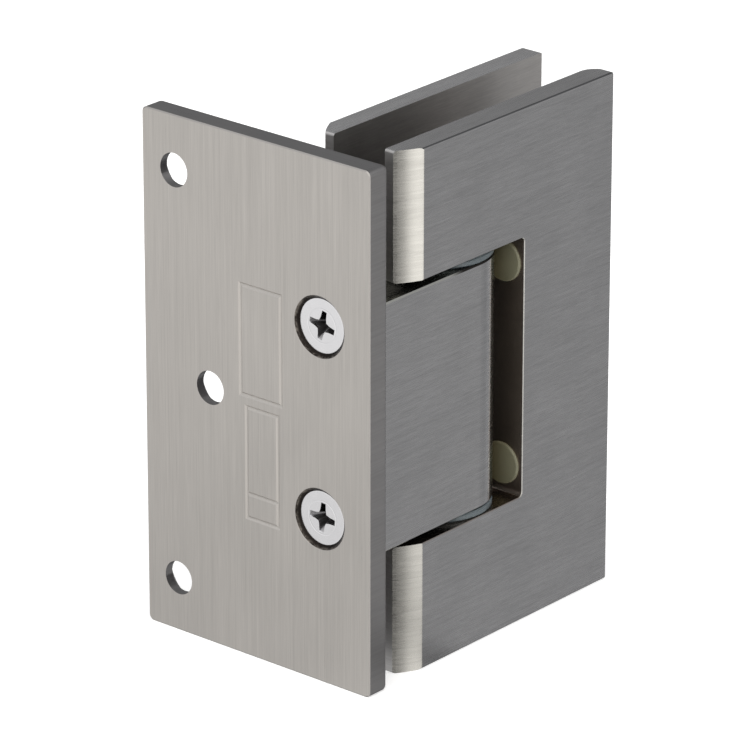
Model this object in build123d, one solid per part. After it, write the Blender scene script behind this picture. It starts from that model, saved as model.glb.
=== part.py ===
from build123d import *
from math import atan2, cos, sin
import os

# Glass door hinge, wall to glass, with an offset wall plate and a self-centring pivot.
# Millimetres. The wall face lies in the plane X = 0 and the door stands away from it along +X.
# Y = 0 is the middle of the glass and holds the pivot axis. Z = 0 is mid height.

os.makedirs("parts", exist_ok=True)

# Wall plate
plate_height = 90.0
plate_width = 48.0
plate_thickness = 4.5
plate_near_margin = 10.5
plate_corner_radius = 1.0
plate_face_round = 0.9
plate_back_chamfer = 0.2

# Countersunk holes for the wall screws, opened out on the room side
wall_hole_diameter = 5.8
wall_hole_land = 1.6
outer_hole_edge = 6.8
outer_hole_end = 9.4
middle_hole_edge = 14.2

# Pivot block, with a half-round end about the pivot axis
pin_standoff = 24.2
block_width = 18.8
block_height = 42.7
block_edge_chamfer = 0.25

# Machine screws that hold the pivot block to the wall plate
plate_screw_diameter = 5.0
plate_screw_head = 9.2
plate_screw_length = 14.0
plate_screw_inset = 4.85
plate_screw_pocket = 10.6
plate_screw_hole_gap = 0.2
cross_recess_length = 5.2
cross_recess_width = 1.15
cross_recess_depth = 2.2
cross_recess_turns = {"upper": 9.0, "lower": 4.0}

# Pivot pin
pin_diameter = 8.0
pin_end_chamfer = 0.5
pin_top_recess = 0.3
detent_depth = 0.4
detent_length = 9.6
detent_flats = 4

# Bushes and thrust washers
bush_diameter = 11.0
bush_length = 9.5
bush_chamfer = 0.3
washer_thickness = 1.15
washer_play = 0.2
washer_rim_chamfer = 0.25

# Sprung plungers that press on the flats of the pin
plunger_diameter = 8.0
plunger_length = 10.0
plunger_spacing = 10.5
plunger_nose_chamfer = 0.6
spring_pocket_diameter = 5.8
spring_pocket_depth = 6.0
spring_wire = 1.0
spring_diameter = 5.2
spring_coils = 7
spring_wire_sides = 6

# Glass leaf: a front half with the boss, and a rear clamp plate
leaf_height = 90.0
leaf_length = 52.4
leaf_wall_gap = 5.2
leaf_corner_radius = 0.5
leaf_edge_round = 0.5
notch_edge_chamfer = 0.12
front_inner_round = 3.4
rear_inner_round = 0.3
rear_outer_round = 1.2
clamp_plate_thickness = 4.3
glass_channel = 10.6
bevel_length = 4.5
bevel_depth = 2.55
bevel_bulge = 0.13
bevel_blend = 0.3
notch_floor_gap = 1.4
notch_corner_radius = 0.8
boss_near_inset = 4.8
boss_ear_height = 8.8
boss_web = 11.5
boss_corner_radius = 6.0
pin_seat_floor = 1.5

# Clamp screws through the rear plate into the boss
clamp_screw_diameter = 6.0
clamp_screw_head = 11.3
clamp_screw_length = 14.0
clamp_screw_sink = 0.2
clamp_socket_width = 4.0
clamp_socket_depth = 2.6
clamp_screw_edge = 6.0

# Set screws that lock the pin in the ears
set_screw_diameter = 5.0
set_screw_length = 8.0
set_screw_socket_width = 2.5
set_screw_socket_depth = 3.0
set_screw_flat_depth = 0.4
set_screw_flat_length = 5.6
set_screw_tip_chamfer = 0.8

# Buffer buttons in the notch floor
button_diameter = 7.4
button_depth = 3.0
button_rise = 0.4
button_rim_round = 0.35
button_front_margin = 0.75
button_end_margin = 1.2

# Clearances, radial unless named otherwise
running_gap = 0.05
seat_gap = 0.02
plunger_gap = 0.06
washer_bore_gap = 0.15
plunger_nose_gap = 0.04
pin_relief_gap = 0.4
tip_gap = 1.0
screw_tip_chamfer = 0.6

# Places worked out from the sizes
pin_x = plate_thickness + pin_standoff
pin_radius = pin_diameter / 2
block_radius = block_width / 2
block_half = block_height / 2
notch_half = block_half + washer_thickness + washer_play
notch_floor = pin_x + block_radius + notch_floor_gap
leaf_near = plate_thickness + leaf_wall_gap
leaf_far = leaf_near + leaf_length
leaf_half = leaf_height / 2
channel_half = glass_channel / 2
face_y = channel_half + clamp_plate_thickness
boss_near = leaf_near + boss_near_inset
boss_far = notch_floor + boss_web
boss_half = notch_half + boss_ear_height
plate_half = plate_height / 2
plate_far_edge = plate_width - plate_near_margin
plate_screw_z = block_half - plate_screw_inset
plunger_z = plunger_spacing / 2
plunger_nose_x = pin_x - pin_radius - plunger_nose_gap
set_screw_z = notch_half + boss_ear_height / 2
clamp_screw_x = boss_far - clamp_screw_edge
clamp_screw_z = boss_half - clamp_screw_edge
button_y = -face_y + button_front_margin + button_diameter / 2
button_z = notch_half - button_end_margin - button_diameter / 2
ends = {"upper": 1, "lower": -1}


def bar(start, end, radius, end_radius=None):
    """A round bar from start to end, or a cone where the radius changes."""
    reach = Vector(*end) - Vector(*start)
    base = Plane(origin=start, z_dir=reach)
    if end_radius is None:
        return Solid.make_cylinder(radius, reach.length, base)
    return Solid.make_cone(radius, end_radius, reach.length, base)


def slab(x_range, y_range, z_range):
    """A block between two corners, given as a range on each axis."""
    size = [high - low for low, high in (x_range, y_range, z_range)]
    middle = [(high + low) / 2 for low, high in (x_range, y_range, z_range)]
    return Pos(*middle) * Box(*size)


def cone_sink(surface_radius, hole_radius, mouth, inward):
    """The cutter of a 90 degree countersink, a little proud of its mouth."""
    proud = 0.5
    depth = surface_radius - hole_radius
    start = Vector(*mouth) - Vector(*inward) * proud
    end = Vector(*mouth) + Vector(*inward) * depth
    return bar(tuple(start), tuple(end), surface_radius + proud, hole_radius)


def hex_socket(mouth, inward, width, depth):
    """A hexagon socket cut inwards from the middle of its mouth."""
    plane = Plane(origin=mouth, z_dir=inward)
    return extrude(plane * RegularPolygon(width / 2, 6, major_radius=False), depth)


def is_corner(vertex):
    """A corner of the leaf's outline other than the notch's inner two."""
    at_end = min(abs(vertex.X - leaf_near), abs(vertex.X - leaf_far)) < 0.01
    return at_end and abs(vertex.Y) > notch_half - 0.01


def is_in_notch(edge):
    """An edge round the notch, and not on the leaf's outer rim."""
    middle = edge.center()
    in_length = leaf_near + notch_corner_radius < middle.X < notch_floor + 0.01
    return in_length and abs(middle.Z) < notch_half + 0.01


def leaf_outline():
    """The leaf seen from the front: a plate with a notch open towards the wall."""
    corners = [
        (leaf_near, notch_half),
        (leaf_near, leaf_half),
        (leaf_far, leaf_half),
        (leaf_far, -leaf_half),
        (leaf_near, -leaf_half),
        (leaf_near, -notch_half),
        (notch_floor, -notch_half),
        (notch_floor, notch_half),
    ]
    outline = make_face(Polyline(corners, close=True))
    inner = [vertex for vertex in outline.vertices() if vertex.X > leaf_near and abs(vertex.Y) < leaf_half]
    outline = fillet(inner, notch_corner_radius)
    sharp = [vertex for vertex in outline.vertices() if is_corner(vertex)]
    return fillet(sharp, leaf_corner_radius)


def clamp_plate(inner_round, outer_round):
    """The rear clamp plate without its holes, cut to its outline from the front, from above and from its end.

    Its bevel near the wall bulges, and its far end is rounded along both edges.
    """
    front_view = Plane(origin=(0, channel_half, 0), x_dir=(1, 0, 0), z_dir=(0, -1, 0))
    blank = extrude(front_view * leaf_outline(), -clamp_plate_thickness)
    face = blank.faces().filter_by(Axis.Y).sort_by(Axis.Y)[-1]
    blank = chamfer([edge for edge in face.edges() if is_in_notch(edge)], notch_edge_chamfer)
    bevel_start = (leaf_near, face_y - bevel_depth)
    bevel_end = (leaf_near + bevel_length, face_y)
    lean = atan2(bevel_depth, bevel_length)
    crest_x = leaf_near + bevel_length / 2 - bevel_bulge * sin(lean)
    crest_y = face_y - bevel_depth / 2 + bevel_bulge * cos(lean)
    outer_corner = (leaf_far, face_y)
    inner_corner = (leaf_far, channel_half)
    sides = Polyline(bevel_end, outer_corner, inner_corner, (leaf_near, channel_half), bevel_start)
    plan = make_face(Curve() + sides + ThreePointArc(bevel_start, (crest_x, crest_y), bevel_end))
    rounds = [(bevel_end, bevel_blend), (inner_corner, inner_round), (outer_corner, outer_round)]
    for corner, radius in rounds:
        plan = fillet(plan.vertices().sort_by_distance(corner)[0], radius)
    end_view = Plane(origin=(leaf_near, 0, 0), x_dir=(0, 1, 0), z_dir=(1, 0, 0))
    profile = Pos((channel_half + face_y) / 2, 0) * Rectangle(clamp_plate_thickness, leaf_height)
    profile = fillet(profile.vertices().group_by(Axis.X)[-1], leaf_edge_round)
    return extrude(plan, leaf_half, both=True) & extrude(end_view * profile, leaf_length) & blank


def make_wall_plate():
    side = Plane(origin=(0, plate_far_edge - plate_width / 2, 0), x_dir=(0, 1, 0), z_dir=(1, 0, 0))
    blank = RectangleRounded(plate_width, plate_height, plate_corner_radius)
    plate = extrude(side * blank, plate_thickness)
    plate = fillet(plate.faces().sort_by(Axis.X)[-1].edges(), plate_face_round)
    plate = chamfer(plate.faces().sort_by(Axis.X)[0].edges(), plate_back_chamfer)
    wall_holes = [
        (plate_far_edge - outer_hole_edge, plate_half - outer_hole_end),
        (plate_far_edge - middle_hole_edge, 0),
        (plate_far_edge - outer_hole_edge, outer_hole_end - plate_half),
    ]
    hole_radius = wall_hole_diameter / 2
    sink_radius = hole_radius + plate_thickness - wall_hole_land
    for y, z in wall_holes:
        plate -= bar((-1, y, z), (plate_thickness + 1, y, z), hole_radius)
        plate -= cone_sink(sink_radius, hole_radius, (plate_thickness, y, z), (-1, 0, 0))
    shank_radius = plate_screw_diameter / 2 + plate_screw_hole_gap
    for end in ends.values():
        z = end * plate_screw_z
        plate -= bar((-1, 0, z), (plate_thickness + 1, 0, z), shank_radius)
        plate -= cone_sink(plate_screw_pocket / 2, shank_radius, (0, 0, z), (1, 0, 0))
    return plate


def make_plate_screw(end, turn):
    """Countersunk cross-head screw, its head seated in the cone of its pocket."""
    z = end * plate_screw_z
    head_radius = plate_screw_head / 2
    shank_radius = plate_screw_diameter / 2
    top = plate_screw_pocket / 2 - head_radius - seat_gap
    tip = top + plate_screw_length
    cone_end = top + head_radius - shank_radius
    screw = bar((top, 0, z), (cone_end, 0, z), head_radius, shank_radius)
    screw += bar((cone_end, 0, z), (tip - screw_tip_chamfer, 0, z), shank_radius)
    screw += bar(
        (tip - screw_tip_chamfer, 0, z), (tip, 0, z), shank_radius, shank_radius - screw_tip_chamfer
    )
    arm = Polyline(
        (-cross_recess_length / 2, 0),
        (cross_recess_length / 2, 0),
        (cross_recess_length / 6, cross_recess_depth),
        (-cross_recess_length / 6, cross_recess_depth),
        close=True,
    )
    profile = Plane(origin=(top, 0, z), x_dir=(0, 1, 0), z_dir=(0, 0, -1)) * make_face(arm)
    recess = extrude(profile, cross_recess_width / 2, both=True)
    for quarter in (0, 90):
        screw -= recess.rotate(Axis((0, 0, z), (1, 0, 0)), turn + quarter)
    return screw


def make_pivot_block():
    body = slab((plate_thickness, pin_x), (-block_radius, block_radius), (-block_half, block_half))
    body += bar((pin_x, 0, -block_half), (pin_x, 0, block_half), block_radius)
    rims = body.faces().filter_by(Axis.Z).edges()
    body = chamfer(rims, block_edge_chamfer)
    body -= bar((pin_x, 0, -block_half - 1), (pin_x, 0, block_half + 1), pin_radius + pin_relief_gap)
    for end in ends.values():
        inner = end * (block_half - bush_length - seat_gap)
        outer = end * (block_half + 1)
        body -= bar((pin_x, 0, inner), (pin_x, 0, outer), bush_diameter / 2 + seat_gap)
        z = end * plate_screw_z
        tip = plate_screw_length + tip_gap + (plate_screw_pocket - plate_screw_head) / 2
        body -= bar((plate_thickness - 1, 0, z), (tip, 0, z), plate_screw_diameter / 2 + seat_gap)
        z = end * plunger_z
        body -= bar((plate_thickness - 1, 0, z), (pin_x, 0, z), plunger_diameter / 2 + plunger_gap)
    return body


def make_bush(end):
    """Sleeve pressed into the block, flush with its end."""
    outer = end * block_half
    inner = end * (block_half - bush_length)
    sleeve = bar((pin_x, 0, inner), (pin_x, 0, outer), bush_diameter / 2)
    sleeve = chamfer(sleeve.edges(), bush_chamfer)
    return sleeve - bar((pin_x, 0, inner - end), (pin_x, 0, outer + end), pin_radius + running_gap)


def make_washer(end):
    """Thrust washer: the upper one lies on the block, the lower one on the ear below it."""
    bottom = block_half if end > 0 else -notch_half
    disc = bar((pin_x, 0, bottom), (pin_x, 0, bottom + washer_thickness), block_radius)
    disc = chamfer(disc.edges(), washer_rim_chamfer)
    bore_radius = pin_radius + washer_bore_gap
    return disc - bar((pin_x, 0, bottom - 1), (pin_x, 0, bottom + washer_thickness + 1), bore_radius)


def make_plunger(end):
    """Flat-nosed plunger, hollow at the back for its spring."""
    z = end * plunger_z
    back = plunger_nose_x - plunger_length
    body = bar((back, 0, z), (plunger_nose_x, 0, z), plunger_diameter / 2)
    body = chamfer(body.edges().sort_by(Axis.X)[-1], plunger_nose_chamfer)
    body -= bar((back - 1, 0, z), (back + spring_pocket_depth, 0, z), spring_pocket_diameter / 2)
    return body


def make_plunger_spring(end):
    """Coil spring between the wall plate and the bottom of the plunger's pocket."""
    start = plate_thickness + seat_gap + spring_wire / 2
    stop = plunger_nose_x - plunger_length + spring_pocket_depth - seat_gap - spring_wire / 2
    coil_radius = (spring_diameter - spring_wire) / 2
    length = stop - start
    path = Helix(pitch=length / spring_coils, height=length, radius=coil_radius)
    section = Plane(origin=path @ 0, z_dir=path % 0) * RegularPolygon(spring_wire / 2, spring_wire_sides)
    coil = sweep(section, path=path)
    return Pos(start, 0, end * plunger_z) * Rot(0, 90, 0) * coil


def pin_flat(turn, depth, middle_z, length):
    """The cutter of a flat on the pin, facing +X before it is turned about the pin."""
    size = (pin_diameter, pin_diameter, length)
    cutter = Pos(pin_diameter - depth, 0, 0) * Box(*size)
    return Pos(pin_x, 0, middle_z) * Rot(0, 0, turn) * cutter


def make_pivot_pin():
    bottom = -boss_half + pin_seat_floor
    top = boss_half - pin_top_recess
    pin = bar((pin_x, 0, bottom), (pin_x, 0, top), pin_radius)
    pin = chamfer(pin.edges(), pin_end_chamfer)
    for end in ends.values():
        for step in range(detent_flats):
            turn = step * 360 / detent_flats
            pin -= pin_flat(turn, detent_depth, end * plunger_z, detent_length)
        pin -= pin_flat(180, set_screw_flat_depth, end * set_screw_z, set_screw_flat_length)
    return pin


def make_set_screw(end):
    """Set screw in the ear, its point on the flat of the pin."""
    z = end * set_screw_z
    point = pin_x - pin_radius + set_screw_flat_depth
    back = point - set_screw_length
    screw = bar((back, 0, z), (point, 0, z), set_screw_diameter / 2)
    screw = chamfer(screw.edges().sort_by(Axis.X)[-1], set_screw_tip_chamfer)
    return screw - hex_socket((back, 0, z), (1, 0, 0), set_screw_socket_width, set_screw_socket_depth)


def make_front_leaf():
    """Front half of the leaf: the face plate, the boss and the ears that hold the pin."""
    plate = clamp_plate(front_inner_round, leaf_edge_round).mirror(Plane.XZ)
    front_view = Plane(origin=(0, -channel_half, 0), x_dir=(1, 0, 0), z_dir=(0, -1, 0))
    middle = (boss_near + boss_far) / 2
    outline = Pos(middle, 0) * RectangleRounded(boss_far - boss_near, 2 * boss_half, boss_corner_radius)
    reach = notch_floor - boss_near + 2 * boss_corner_radius
    outline -= Pos(notch_floor - reach / 2, 0) * RectangleRounded(
        reach, 2 * notch_half, notch_corner_radius
    )
    leaf = plate + extrude(front_view * outline, -glass_channel)
    seat_radius = pin_radius + seat_gap
    seat_floor = -boss_half + pin_seat_floor
    leaf -= bar((pin_x, 0, seat_floor), (pin_x, 0, boss_half + 1), seat_radius)
    for end in ends.values():
        z = end * set_screw_z
        leaf -= bar((boss_near - 1, 0, z), (pin_x, 0, z), set_screw_diameter / 2 + seat_gap)
        z = end * clamp_screw_z
        tip = face_y - clamp_screw_sink - clamp_screw_length - tip_gap
        radius = clamp_screw_diameter / 2 + seat_gap
        leaf -= bar((clamp_screw_x, tip, z), (clamp_screw_x, channel_half + 1, z), radius)
        z = end * button_z
        radius = button_diameter / 2 + seat_gap
        leaf -= bar((notch_floor - 1, button_y, z), (notch_floor + button_depth, button_y, z), radius)
    return leaf


def make_rear_leaf():
    """Rear clamp plate, with countersunk holes for the clamp screws."""
    plate = clamp_plate(rear_inner_round, rear_outer_round)
    hole_radius = clamp_screw_diameter / 2 + plate_screw_hole_gap
    sink_radius = clamp_screw_head / 2 + clamp_screw_sink
    for end in ends.values():
        z = end * clamp_screw_z
        plate -= bar((clamp_screw_x, channel_half - 1, z), (clamp_screw_x, face_y + 1, z), hole_radius)
        plate -= cone_sink(sink_radius, hole_radius, (clamp_screw_x, face_y, z), (0, -1, 0))
    return plate


def make_clamp_screw(end):
    """Countersunk socket screw through the rear plate into the boss."""
    z = end * clamp_screw_z
    x = clamp_screw_x
    head_radius = clamp_screw_head / 2
    shank_radius = clamp_screw_diameter / 2
    top = face_y - clamp_screw_sink + seat_gap
    cone_end = top - head_radius + shank_radius
    tip = top - clamp_screw_length
    screw = bar((x, top, z), (x, cone_end, z), head_radius, shank_radius)
    screw += bar((x, cone_end, z), (x, tip + screw_tip_chamfer, z), shank_radius)
    screw += bar(
        (x, tip + screw_tip_chamfer, z), (x, tip, z), shank_radius, shank_radius - screw_tip_chamfer
    )
    return screw - hex_socket((x, top, z), (0, -1, 0), clamp_socket_width, clamp_socket_depth)


def make_button(end):
    """Nylon button pressed into the notch floor, its rim rounded."""
    z = end * button_z
    front = notch_floor - button_rise
    button = bar((front, button_y, z), (notch_floor + button_depth, button_y, z), button_diameter / 2)
    return fillet(button.edges().sort_by(Axis.X)[0], button_rim_round)


nodes = {
    "wall_plate": make_wall_plate(),
    "pivot_block": make_pivot_block(),
    "pivot_pin": make_pivot_pin(),
    "front_leaf": make_front_leaf(),
    "rear_leaf": make_rear_leaf(),
}
for place, end in ends.items():
    nodes["plate_screw_" + place] = make_plate_screw(end, cross_recess_turns[place])
    nodes["pin_bush_" + place] = make_bush(end)
    nodes["thrust_washer_" + place] = make_washer(end)
    nodes["plunger_" + place] = make_plunger(end)
    nodes["plunger_spring_" + place] = make_plunger_spring(end)
    nodes["pin_set_screw_" + place] = make_set_screw(end)
    nodes["clamp_screw_" + place] = make_clamp_screw(end)
    nodes["buffer_button_" + place] = make_button(end)

for name, shape in nodes.items():
    export_step(shape, "parts/" + name + ".step")
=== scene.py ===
"""Looks of a wall-to-glass door hinge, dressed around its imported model.

Metres. The wall face lies in the plane X = 0, the door stands away from it along +X and the pivot is upright.
"""
import math

import bmesh
import bpy
from bpy.props import FloatProperty, FloatVectorProperty, IntProperty, PointerProperty
from mathutils import Matrix, Vector


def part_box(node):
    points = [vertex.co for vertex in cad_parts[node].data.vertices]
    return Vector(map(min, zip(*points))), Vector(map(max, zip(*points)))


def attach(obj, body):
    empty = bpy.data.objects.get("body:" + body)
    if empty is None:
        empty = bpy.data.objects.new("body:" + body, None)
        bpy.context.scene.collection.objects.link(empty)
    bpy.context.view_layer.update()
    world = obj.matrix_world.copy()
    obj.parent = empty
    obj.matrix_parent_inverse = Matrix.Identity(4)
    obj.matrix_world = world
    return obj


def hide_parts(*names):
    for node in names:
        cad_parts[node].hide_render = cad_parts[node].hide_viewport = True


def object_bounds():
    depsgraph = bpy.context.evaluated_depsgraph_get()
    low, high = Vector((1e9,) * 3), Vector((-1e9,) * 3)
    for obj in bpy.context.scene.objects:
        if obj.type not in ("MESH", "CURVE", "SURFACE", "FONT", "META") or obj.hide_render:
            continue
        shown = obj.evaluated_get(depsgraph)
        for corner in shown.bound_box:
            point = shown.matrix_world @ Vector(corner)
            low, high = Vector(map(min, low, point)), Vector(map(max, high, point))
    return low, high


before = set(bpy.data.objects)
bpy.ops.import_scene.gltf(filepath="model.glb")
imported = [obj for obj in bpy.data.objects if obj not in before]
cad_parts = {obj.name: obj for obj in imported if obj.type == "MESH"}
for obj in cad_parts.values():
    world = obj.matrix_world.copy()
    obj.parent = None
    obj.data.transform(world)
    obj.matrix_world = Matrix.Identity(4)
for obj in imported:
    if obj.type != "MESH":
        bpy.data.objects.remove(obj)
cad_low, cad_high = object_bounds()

bl_info = {
    "name": "Door Hinge Looks",
    "version": (1, 0, 0),
    "blender": (4, 5, 0),
    "location": "View3D > Sidebar > Hinge",
    "description": "Finishes, fasteners, springs and studio for a wall-to-glass door hinge",
    "category": "Object",
}

MM = 0.001
HALF_TURN = math.pi
FULL_TURN = 2 * math.pi
AXES = {"X": 0, "Y": 1, "Z": 2}

NOTCH_HALF = 22.9 * MM  # half the height of the leaf's notch, with a little over
NOTCH_FLOOR = 39.5 * MM  # from the wall face to the floor of the notch


def both(name):
    """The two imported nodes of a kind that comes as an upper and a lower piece."""
    return [name + "_upper", name + "_lower"]


def centre(node):
    """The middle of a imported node's box."""
    low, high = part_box(node)
    return (low + high) / 2


PIN_X = centre("pivot_pin").x
PLATE_SCREWS = both("plate_screw")


class Field:
    """A socket whose value varies from place to place. Python's arithmetic on it adds Math nodes."""

    def __init__(self, sheet, socket):
        self.sheet = sheet
        self.socket = socket

    def maths(self, operation, *others):
        return self.sheet.add("ShaderNodeMath", {"operation": operation}, [self, *others])

    def __add__(self, other):
        return self.maths("ADD", other)

    def __sub__(self, other):
        return self.maths("SUBTRACT", other)

    def __mul__(self, other):
        return self.maths("MULTIPLY", other)

    def __truediv__(self, other):
        return self.maths("DIVIDE", other)

    def __rsub__(self, other):
        return self.sheet.add("ShaderNodeMath", {"operation": "SUBTRACT"}, [other, self])

    def __rtruediv__(self, other):
        return self.sheet.add("ShaderNodeMath", {"operation": "DIVIDE"}, [other, self])

    def __gt__(self, other):
        return self.maths("GREATER_THAN", other)

    def __lt__(self, other):
        return self.maths("LESS_THAN", other)

    def __abs__(self):
        return self.maths("ABSOLUTE")

    __radd__ = __add__
    __rmul__ = __mul__

    def between(self, start, stop):
        """0 below start, 1 above stop and smooth from one to the other."""
        settings = {"interpolation_type": "SMOOTHSTEP"}
        sockets = {"Value": self, "From Min": start, "From Max": stop}
        return self.sheet.add("ShaderNodeMapRange", settings, sockets)


class Sheet:
    """A node tree that is written by one method."""

    def __init__(self, tree):
        self.tree = tree
        tree.nodes.clear()

    def add(self, kind, settings=None, sockets=(), output=0):
        """One node: its type, its settings, the values or links of its sockets, and the output wanted.

        An output is given by its number or its name.
        """
        node = self.tree.nodes.new(kind)
        for name, value in (settings or {}).items():
            if name == "stops":
                self.set_stops(node.color_ramp, value)
            else:
                setattr(node, name, value)
        named = sockets.items() if isinstance(sockets, dict) else enumerate(sockets)
        for name, value in named:
            self.fill(node.inputs[name], value)
        return Field(self, node.outputs[output]) if node.outputs else node

    def fill(self, socket, value):
        if isinstance(value, Field):
            self.tree.links.new(value.socket, socket)
        else:
            socket.default_value = value

    @staticmethod
    def set_stops(ramp, stops):
        while len(ramp.elements) < len(stops):
            ramp.elements.new(0.5)
        for element, (position, colour) in zip(ramp.elements, stops):
            element.position = position
            element.color = colour

    def parts(self, vector):
        """The X, Y and Z fields of a vector."""
        node = self.add("ShaderNodeSeparateXYZ", None, [vector]).socket.node
        return [Field(self, socket) for socket in node.outputs]

    def mix(self, share, low, high):
        """A colour between two colours."""
        sockets = {0: share, 6: opaque(low), 7: opaque(high)}
        return self.add("ShaderNodeMix", {"data_type": "RGBA"}, sockets, output=2)

    def scaled(self, colour, amount):
        """A colour made lighter or darker."""
        return self.add("ShaderNodeVectorMath", {"operation": "SCALE"}, {0: colour, "Scale": amount})

    def vector(self, operation, *operands, output=0):
        """Vector maths. Output 0 is a vector and output 1 a number."""
        return self.add("ShaderNodeVectorMath", {"operation": operation}, operands, output)

    def place(self):
        """The place on the piece, in metres."""
        return self.add("ShaderNodeTexCoord", output=3)

    def distance(self, x, y, z):
        """The length of a vector."""
        reach = self.add("ShaderNodeCombineXYZ", None, [x, y, z])
        return self.vector("LENGTH", reach, output=1)

    def noise(self, scale, detail=2.0, rough=0.5, waver=0.0):
        """Noise with one frequency, or one of its own along each axis, in cells per metre."""
        scales = (scale,) * 3 if isinstance(scale, int) else scale
        spread = self.add("ShaderNodeMapping", None, {"Vector": self.place(), "Scale": scales})
        sockets = {"Vector": spread, "Scale": 1.0, "Detail": detail, "Roughness": rough, "Distortion": waver}
        return self.add("ShaderNodeTexNoise", None, sockets)


def opaque(colour):
    """A colour with its alpha, or the field that gives one."""
    if isinstance(colour, Field) or len(colour) == 4:
        return colour
    return (*colour, 1.0)


class Finish(Sheet):
    """A material about one Principled shader."""

    def __init__(self, name, constants):
        self.material = bpy.data.materials.new(name)
        self.material.use_nodes = True
        super().__init__(self.material.node_tree)
        shader = self.add("ShaderNodeBsdfPrincipled", None, constants)
        self.inputs = shader.socket.node.inputs
        self.add("ShaderNodeOutputMaterial", None, {"Surface": shader})

    def vary(self, **fields):
        """Links what changes over the surface to the shader."""
        for name, value in fields.items():
            self.fill(self.inputs[name.replace("_", " ").title()], value)

    def layered(self, tone, *coats):
        """A tone under layers of colour, each of them a share between 0 and 1 and a colour; here most layers
        are painted light and shade.
        """
        for share, colour in coats:
            tone = self.mix(share, tone, colour)
        return tone

    def off_axis(self, nodes):
        """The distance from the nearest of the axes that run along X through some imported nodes."""
        x, y, z = self.parts(self.place())
        nearest = None
        for node in nodes:
            middle = centre(node)
            away = self.distance(0.0, y - middle.y, z - middle.z)
            nearest = away if nearest is None else nearest.maths("MINIMUM", away)
        return nearest

    def relief(self, height, depth):
        """Fine relief from a field between 0 and 1, of a depth in metres."""
        bump = self.add("ShaderNodeBump", None, {"Height": height, "Distance": depth, "Strength": 1.0})
        self.fill(self.inputs["Normal"], bump)


def stroke(sheet, along, spacing, length, waver):
    """Scratches that are long along one or two axes and fine across them."""
    scale = [1 / length if axis in along else 1 / spacing for axis in "XYZ"]
    return sheet.noise(scale, detail=3.0, rough=0.65, waver=waver)


def slanting(first, second, start, stop):
    """Where a face turns to both of two axes, from 0 at start to 1 at stop."""
    return abs(first).between(start, stop) * abs(second).between(start, stop)


def turned_to(sheet):
    """How far a face turns to each axis, from 0 to 1."""
    across = sheet.parts(sheet.add("ShaderNodeTexCoord", output=1))
    return {axis: abs(across[AXES[axis]]).between(0.55, 0.8) for axis in "XYZ"}


SCRATCH_WIDTHS = ((1, 1), (3, 3), (9, 12))  # width and length of each layer, as multiples of the finest
WAVERED_DEPTH = 0.55  # how much shallower short, wavering scratches are, for their length


def brushed(name, looks, tone, ways, stretch_turn, length, contrast, gloss, waver=0.0):
    """Satin nickel: scratches in two widths and a few long ones, over faint cloudy patches.

    ways gives the axes along which the scratches run on the faces that are turned to X, Y and Z.
    """
    finish = Finish(name, {
        "Metallic": 1.0, "Anisotropic": looks.stretch, "Anisotropic Rotation": stretch_turn,
    })
    facing = turned_to(finish)
    layers = []
    for width, reach in SCRATCH_WIDTHS:
        layer = None
        for axis in "YXZ":
            strokes = stroke(finish, ways[axis], width * looks.grain_spacing, reach * length, waver)
            layer = strokes if layer is None else layer + facing[axis] * (strokes - layer)
        layers.append(layer)
    fine, wide, long = layers
    cloud = finish.noise((90, 90, 60), detail=2.0)
    strokes = 0.6 * fine + 0.4 * wide
    light = (fine - 0.5) + 0.7 * (wide - 0.5) + 0.5 * (long - 0.5) + 0.3 * (cloud - 0.5)
    finish.shade = 1 + contrast * light
    finish.tone = finish.scaled(tone, finish.shade)
    finish.facing = facing
    finish.gloss = gloss + 0.25 * (fine - 0.5) + 0.12 * (cloud - 0.5)
    finish.vary(base_color=finish.tone, roughness=finish.gloss)
    depth = looks.grain_depth
    if waver:
        depth *= WAVERED_DEPTH * length / looks.grain_length
    finish.relief(strokes, depth)
    return finish


def steel(name, looks, scale, detail, uneven, gloss, spread, depth, grain=None):
    """Bare steel: noise changes its tone and roughness, and it or a finer grain stands out as relief."""
    finish = Finish(name, {"Metallic": 1.0})
    marks = finish.noise(scale, detail)
    finish.vary(
        base_color=finish.scaled(looks.steel_tone, 1 + uneven * (marks - 0.5)),
        roughness=gloss + spread * (marks - 0.5),
    )
    finish.relief(finish.noise(grain) if grain else marks, depth)
    return finish


def wear(node, finish):
    """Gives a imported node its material."""
    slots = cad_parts[node].data.materials
    slots.clear()
    slots.append(finish.material)


def placed(name, data):
    """A new object in the scene."""
    piece = bpy.data.objects.new(name, data)
    bpy.context.scene.collection.objects.link(piece)
    return piece


def put(name, mesh, finish, body, slot, *nodes):
    """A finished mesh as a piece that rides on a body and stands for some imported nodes."""
    piece = placed(name, mesh)
    mesh.materials.clear()
    mesh.materials.append(finish.material)
    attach(piece, body)
    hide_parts(*nodes)


def baked(piece):
    """The mesh that an object's modifiers make of it."""
    graph = bpy.context.evaluated_depsgraph_get()
    return bpy.data.meshes.new_from_object(piece.evaluated_get(graph))


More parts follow.
